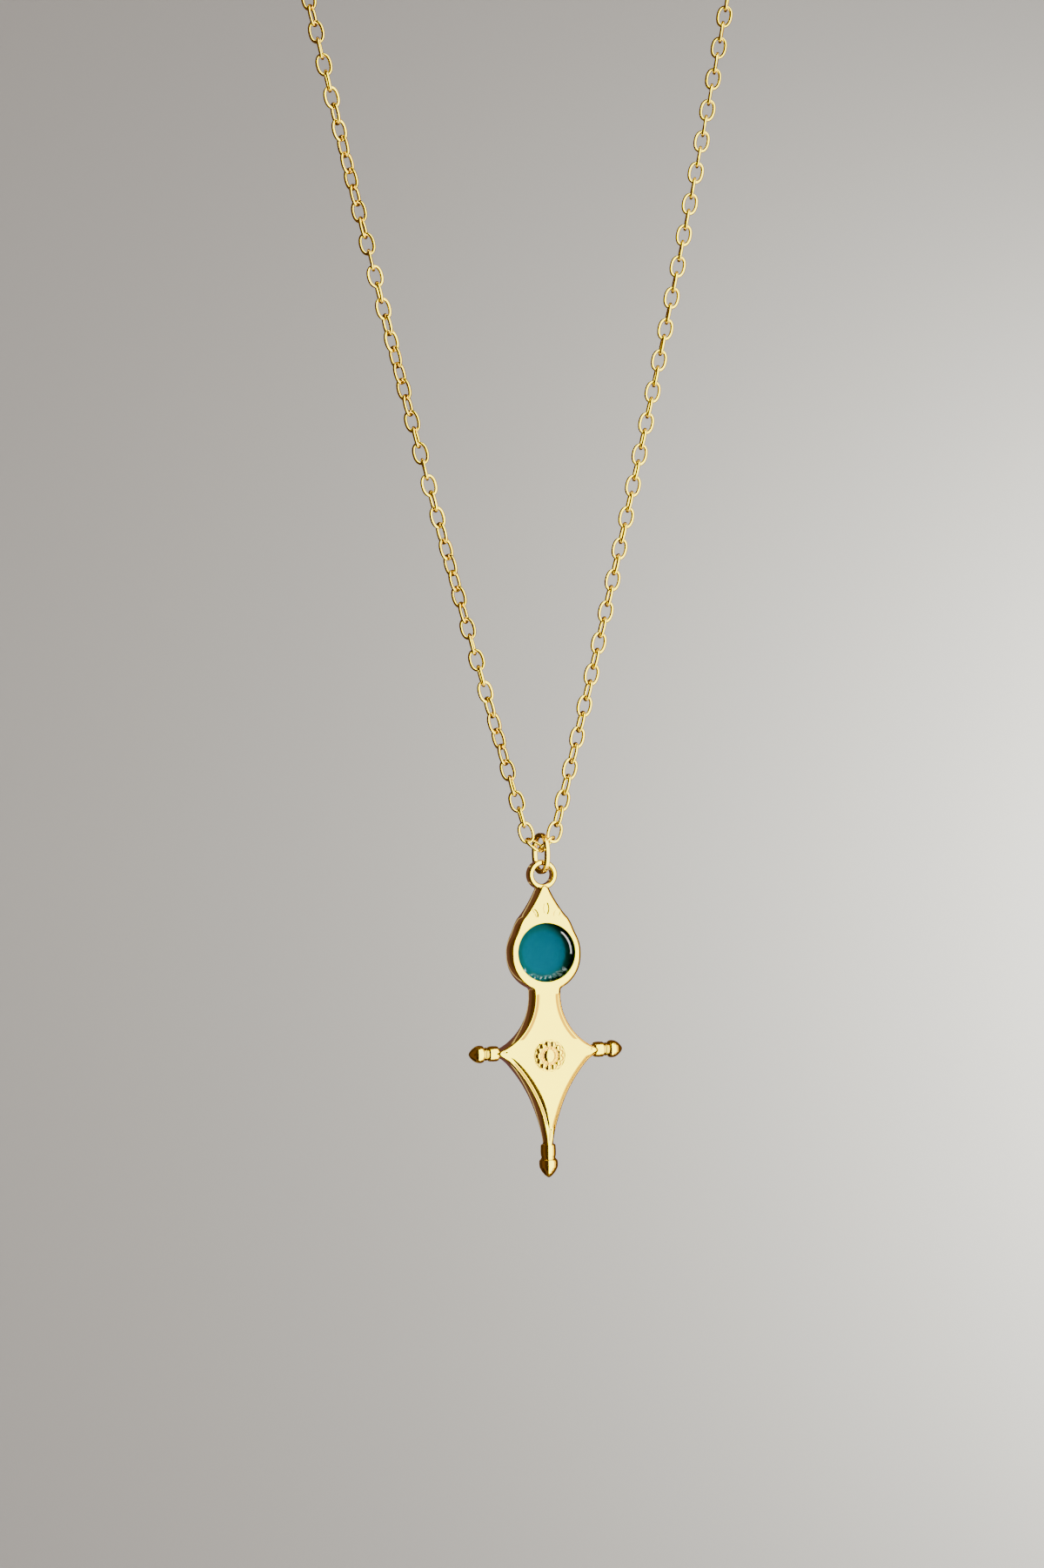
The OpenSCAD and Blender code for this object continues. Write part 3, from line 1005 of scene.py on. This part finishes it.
def add_backing(surface, base_y):
    """The painted backing, which also lines the glass's side."""
    back_y = base_y - 0.03
    side = STONE_R - 0.04
    profile = [(0.001, back_y), (1.5, back_y), (side, back_y), (side, base_y - 0.3), (side, base_y - 0.62)]
    normals = [(0, -1), (0, -1), (-0.7, -0.7), (-1, 0), (-1, 0)]
    surface.add(*facing_front(profile, normals), BACKING_SLOT)


def add_stone(surface):
    base_y = -BODY_T / 2 + CUP_D - STONE_GAP
    top_y = -BODY_T / 2 + 0.05
    shoulder_y = top_y + (TABLE_R - FACET_R) * math.tan(rad(FACET_TILT))
    add_glass(surface, base_y, top_y, shoulder_y)
    add_facet(surface, top_y, shoulder_y)
    add_backing(surface, base_y)


# Pieces of the pendant

surface = Surface()
add_body(surface)
add_finials(surface)
add_ring(surface)
cross = surface.build("cross_casting", [cast_gold])
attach(cross, "pendant")
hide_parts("cross")

surface = Surface()
add_stone(surface)
stone_materials = [glass("stone_glass", GLASS_INDEX), glass("stone_facet", FACET_INDEX), backing()]
stone = surface.build("round_stone", stone_materials)
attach(stone, "pendant")
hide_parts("stone")

# Links of wire

# A wire is its width across the link, its depth and the radius of its edges
OVAL_POWER = 2.35
OVAL_DENSE = 4000


def oval_path(length, width, count):
    """Middle line of an oval link in the XZ plane, with its points at even distances."""
    a = full_turn(OVAL_DENSE)
    x = width / 2 * np.sign(np.cos(a)) * np.abs(np.cos(a)) ** (2 / OVAL_POWER)
    z = length / 2 * np.sign(np.sin(a)) * np.abs(np.sin(a)) ** (2 / OVAL_POWER)
    step = np.hypot(np.roll(x, -1) - x, np.roll(z, -1) - z)
    run = np.concatenate([[0], np.cumsum(step)])
    at = np.linspace(0, run[-1], count, endpoint=False)
    return np.stack([np.interp(at, run, np.append(x, x[0])), np.interp(at, run, np.append(z, z[0]))], 1)


def link_surface(length, width, wire, depth, corner, count, steps):
    """An oval link of wire with rounded edges: points, faces and normals."""
    path = oval_path(length - wire, width - wire, count)
    section, normals = rounded_section(wire, depth, corner, steps)
    return sweep(path, section, normals, outward_of(path))


def add_turned(surface, link, turn, place):
    points, faces, normals = link
    surface.add(points @ turn.T + place, faces, normals @ turn.T)


# Bail

BAIL_W = 3.4
BAIL_H = 4.3
BAIL_WIRE = (0.5, 0.5, 0.12)
BAIL_Z = 18.49
BAIL_TURN = 11

surface = Surface()
bail_link = link_surface(BAIL_H, BAIL_W, *BAIL_WIRE, 72, 4)
add_turned(surface, bail_link, rot_z(90 + BAIL_TURN), np.array([0, 0, BAIL_Z + BAIL_H / 2]))
bail = surface.build("bail_loop", [wire_gold])
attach(bail, "bail")
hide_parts("bail")

# Chain

# The lowest link of each strand, which passes through the bail, is of thinner wire
LINK_L = 2.4
LINK_W = 1.7
LINK_WIRE = (0.345, 0.34, 0.15)
LOW_WIRE = (0.29, 0.29, 0.13)
LINK_SIDES = 32
chain_link = link_surface(LINK_L, LINK_W, *LINK_WIRE, LINK_SIDES, 3)
low_link = link_surface(LINK_L, LINK_W, *LOW_WIRE, LINK_SIDES, 3)


def strand(name, side, turns, low_shift, low_lean, low_tip):
    """One strand, from the bail to the top. The side is -1 on the left and 1 on the right."""
    surface = Surface()
    low_turn = rot_y(low_lean) @ rot_x(low_tip) @ rot_z(turns[0])
    add_turned(surface, low_link, low_turn, np.array(low_shift) + [0, 0, CHAIN_Z])
    for i in range(1, LINKS):
        x = side * (joint_x[i] + joint_x[i + 1]) / 2
        z = CHAIN_Z + (joint_z[i] + joint_z[i + 1]) / 2
        add_turned(surface, chain_link, rot_y(side * leans[i]) @ rot_z(turns[i]), np.array([x, 0, z]))
    obj = surface.build(name, [wire_gold])
    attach(obj, "chain")
    return obj


LEFT_LOW = {"low_shift": (-0.69, -0.19, 0.605), "low_lean": -61, "low_tip": 6}
RIGHT_LOW = {"low_shift": (0.668, 0.19, 0.678), "low_lean": 53, "low_tip": -1}
left = strand("chain_strand_left", -1, left_turns, **LEFT_LOW)
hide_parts("chain_left")
right = strand("chain_strand_right", 1, right_turns, **RIGHT_LOW)
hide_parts("chain_right")

for name in ("clasp", "end_ring", "clasp_link"):
    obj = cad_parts[name]
    obj.data.materials.clear()
    obj.data.materials.append(wire_gold)

# Surroundings

# Lengths are in metres from here on
AIM = Vector((0, 0, (DROP + 3) * MM))
WHITE = (1.0, 1.0, 1.0)
WARM = (1.0, 0.64, 0.3)
PINK = (1.0, 0.8, 0.7)
CARD = (0.04, 0.013, 0.012)
PAPER = (0.372, 0.37, 0.345)
WORLD = (0.15, 0.068, 0.1)
FLOOR_Z = -0.6
FLOOR_NEAR_Y = -2.0
WALL_Y = 1.1
WALL_TOP = 1.6
WALL_BEND = 0.4
PAPER_X = 2.0
SHEET_STEP = 6
LAMP_SIZE = 0.3
LAMP_POWER = 9.6
LAMP_COLOUR = (1.0, 0.99, 0.95)
LAMP_PLACE = Vector((0.78, 0.85, AIM.z - 0.02))
LAMP_AIM = Vector((0.5, 1.1, AIM.z - 0.02))


def plain_material(name, colour):
    material, tree, shader = new_material(name)
    fill(tree, shader, {"Base Color": (*colour, 1), "Roughness": 0.9})
    return material


def glow(name, strength, colour):
    """A material that only gives light."""
    material = bpy.data.materials.new(name)
    material.use_nodes = True
    tree = material.node_tree
    tree.nodes.clear()
    light = node(tree, "ShaderNodeEmission", {"Strength": strength, "Color": (*colour, 1)})
    node(tree, "ShaderNodeOutputMaterial", {"Surface": light.outputs[0]})
    return material


def backdrop():
    """A pale floor that curves up into a pale wall, far behind the necklace."""
    path = [(FLOOR_NEAR_Y, FLOOR_Z), (WALL_Y - WALL_BEND, FLOOR_Z)]
    steps = 12
    for k in range(1, steps + 1):
        a = rad(90 * k / steps)
        y = WALL_Y - WALL_BEND + WALL_BEND * math.sin(a)
        path.append((y, FLOOR_Z + WALL_BEND - WALL_BEND * math.cos(a)))
    path.append((WALL_Y, WALL_TOP))
    points = [(x, y, z) for y, z in path for x in (-PAPER_X, PAPER_X)]
    obj = add_mesh("backdrop", points, grid_faces(len(path), 2, False, False).tolist(), True)
    obj.data.materials.append(plain_material("pale_paper", PAPER))
    obj.visible_glossy = False


def direction(azimuth, elevation):
    """A direction from the pendant. Azimuth 0 is straight in front, and it grows to the right."""
    a, e = rad(azimuth), rad(elevation)
    return Vector((math.sin(a) * math.cos(e), -math.cos(a) * math.cos(e), math.sin(e)))


def sheet(azimuths, elevations, radius, material):
    """Part of a large globe round the pendant, which lights it or is mirrored in it as a dark card."""
    cols = max(2, int((azimuths[1] - azimuths[0]) / SHEET_STEP) + 1)
    rows = max(2, int((elevations[1] - elevations[0]) / SHEET_STEP) + 1)
    points = []
    for e in np.linspace(*elevations, rows):
        for a in np.linspace(*azimuths, cols):
            points.append(tuple(AIM + direction(a, e) * radius))
    obj = add_mesh(material.name, points, grid_faces(rows, cols, False, False).tolist(), False)
    obj.data.materials.append(material)
    obj.visible_camera = False


def wall_light():
    """A soft pool of light on the right of the backdrop."""
    light = bpy.data.lights.new("wall_light", "AREA")
    light.shape = "RECTANGLE"
    light.size = LAMP_SIZE
    light.size_y = LAMP_SIZE
    light.energy = LAMP_POWER
    light.color = LAMP_COLOUR
    lamp = bpy.data.objects.new("wall_light", light)
    bpy.context.collection.objects.link(lamp)
    lamp.location = LAMP_PLACE
    lamp.rotation_euler = (LAMP_AIM - LAMP_PLACE).to_track_quat("-Z", "Y").to_euler()
    lamp.visible_glossy = False


def surroundings():
    """The plain colour all round, which fills the shadows."""
    world = bpy.data.worlds.new("surroundings")
    world.use_nodes = True
    background = world.node_tree.nodes["Background"]
    fill(world.node_tree, background, {"Color": (*WORLD, 1), "Strength": 1.0})
    bpy.context.scene.world = world


backdrop()
sheet((-12, 54), (-86, 70), 0.7, glow("soft_window", 6.6, WHITE))
sheet((54, 82), (-86, 70), 0.7, glow("warm_side", 2.5, WARM))
sheet((-175, -172.5), (-60, 60), 0.6, glow("thin_strip", 1.0, PINK))
sheet((-60, -19), (-60, 60), 0.72, plain_material("card_near_camera", CARD))
sheet((-160, -100), (-60, 60), 0.62, plain_material("card_left", CARD))
wall_light()
surroundings()

# Camera

# The focal length is in pixels of the photo, whose longer side is PHOTO_H
FOCAL_PX = 4000
PHOTO_H = 1802
SENSOR = 36
YAW = 15.95
TILT = -0.67
ROLL = -1.42
SHIFT = 0.05
CAMERA_PLACE = Vector((-101.5, -347.9, 24.0 + DROP)) * MM


def add_camera():
    lens = bpy.data.cameras.new("camera")
    lens.sensor_width = SENSOR
    lens.lens = FOCAL_PX / PHOTO_H * SENSOR
    lens.shift_y = SHIFT
    lens.clip_start = 0.01
    lens.clip_end = 10
    camera = bpy.data.objects.new("camera", lens)
    bpy.context.collection.objects.link(camera)
    level = Vector((math.sin(rad(YAW)), math.cos(rad(YAW)), 0))
    ahead = level * math.cos(rad(TILT)) + Vector((0, 0, math.sin(rad(TILT))))
    side = Vector((math.cos(rad(YAW)), -math.sin(rad(YAW)), 0))
    up = side.cross(ahead)
    rolled_side = side * math.cos(rad(ROLL)) + up * math.sin(rad(ROLL))
    rolled_up = up * math.cos(rad(ROLL)) - side * math.sin(rad(ROLL))
    camera.location = CAMERA_PLACE
    camera.rotation_euler = Matrix((rolled_side, rolled_up, -ahead)).transposed().to_euler()
    bpy.context.scene.camera = camera


add_camera()
